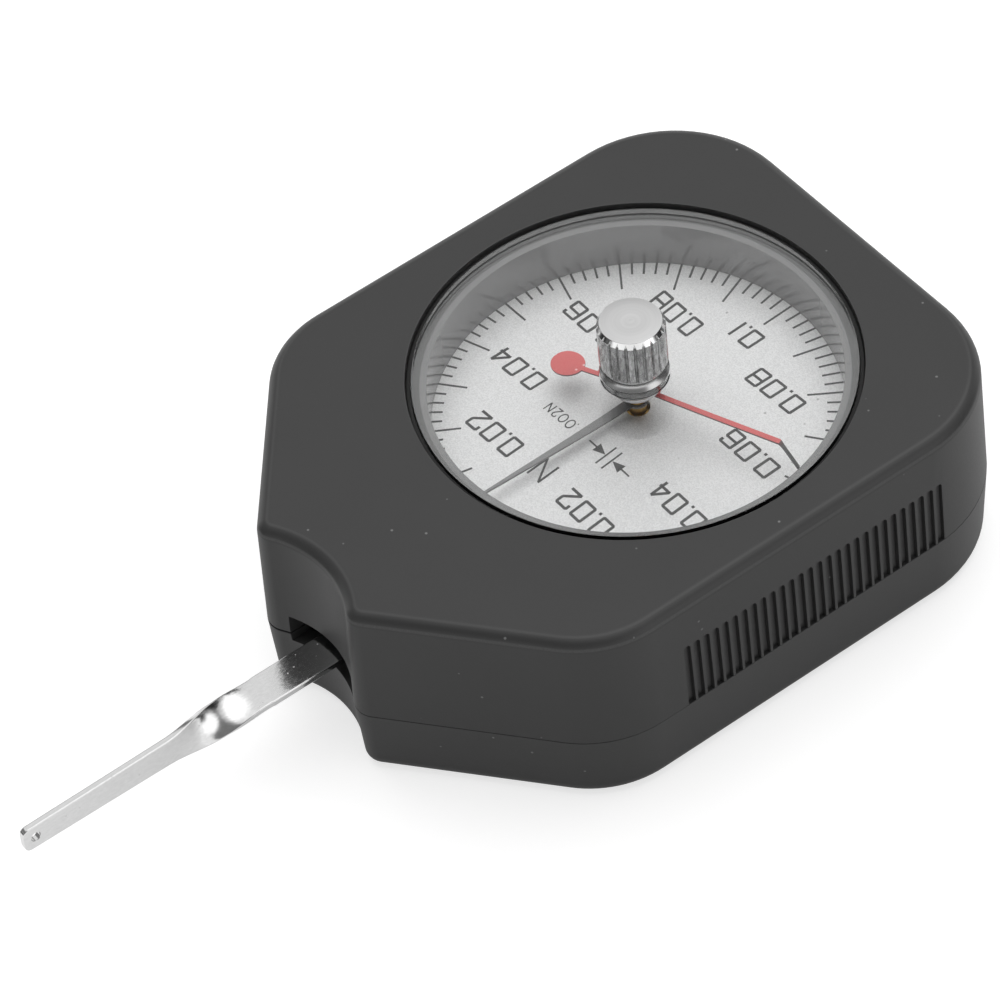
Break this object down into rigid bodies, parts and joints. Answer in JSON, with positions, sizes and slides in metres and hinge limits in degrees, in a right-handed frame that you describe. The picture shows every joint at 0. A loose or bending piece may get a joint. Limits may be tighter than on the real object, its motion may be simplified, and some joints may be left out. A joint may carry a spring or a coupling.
{
  "type": "dial tension gauge",
  "caption": "Palm-sized dial force gauge: moulded two-part case, clear dial cover, twisted steel feeler lever, reading pointer and a hold pointer reset by a knurled knob.",
  "frame": {"origin": "where the dial's axis meets the case's flat back face", "axes": "+Z out of the dial, -Y along the resting feeler towards its tip, +X to its right seen with the feeler pointing down"},
  "size_m": [0.062, 0.1168, 0.0326],
  "materials": {
    "case_black": "fine matte moulded grain",
    "clear": "clear moulded acrylic",
    "rubber": "soft black ring",
    "dial_silver": "fine satin silver",
    "brass": "turned and stamped brass",
    "steel": "turned steel",
    "bright_steel": "polished stainless strip",
    "chrome": "bright plate with a satin top",
    "screw_steel": "plated steel screws",
    "spring_steel": "tempered strip",
    "pointer_grey": "dark lacquer",
    "hold_red": "red lacquer, black bent tip"
  },
  "bodies": {
    "case": {"bottom_plate": "brass", "case_screw_1": "screw_steel", "case_screw_2": "screw_steel", "case_screw_3": "screw_steel", "case_screw_4": "screw_steel", "crystal": "clear", "crystal_bush": "steel", "crystal_seal": "rubber", "dial_plate": "dial_silver", "hairspring": "spring_steel", "hairspring_stud": "brass", "lever_bush_lower": "brass", "lever_bush_upper": "brass", "lower_case": "case_black", "movement_screw_1": "screw_steel", "movement_screw_2": "screw_steel", "movement_screw_3": "screw_steel", "pillar_1": "brass", "pillar_2": "brass", "pillar_3": "brass", "pillar_4": "brass", "pillar_screw_1": "screw_steel", "pillar_screw_2": "screw_steel", "pillar_screw_3": "screw_steel", "pillar_screw_4": "screw_steel", "pointer_bush_lower": "brass", "pointer_bush_upper": "brass", "stop_pin_left": "steel", "stop_pin_right": "steel", "top_plate": "brass", "upper_case": "case_black"},
    "lever": {"feeler": "bright_steel", "lever_hub": "brass", "lever_arbor": "steel", "sector_gear": "brass", "clamp_screw_1": "screw_steel", "clamp_screw_2": "screw_steel"},
    "pointer": {"pointer_arbor": "steel", "pinion": "steel", "hairspring_collet": "brass", "pointer_hub": "brass", "main_pointer": "pointer_grey", "pointer_cap": "brass"},
    "hold_hand": {"knob": "chrome", "knob_stem": "steel", "thrust_washer": "steel", "lock_nut": "steel", "hold_pointer_hub": "steel", "hold_pointer": "hold_red"}
  },
  "joints": [
    {"name": "feeler_pivot", "type": "hinge", "parent": "case", "child": "lever", "pos_m": [0, -0.0285, 0], "axis": [0, 0, 1], "range_deg": [-10, 10], "stiffness_Nm_per_rad": 0.032},
    {"name": "pointer_spin", "type": "hinge", "parent": "case", "child": "pointer", "pos_m": [0, 0, 0], "axis": [0, 0, 1], "range_deg": [-180, 180]},
    {"name": "hold_hand_turn", "type": "hinge", "parent": "case", "child": "hold_hand", "pos_m": [0, 0, 0], "axis": [0, 0, 1], "range_deg": [-105, 240]}
  ],
  "couplings": [
    {"joint": "pointer_spin", "follows": "feeler_pivot", "ratio": -18}
  ]
}
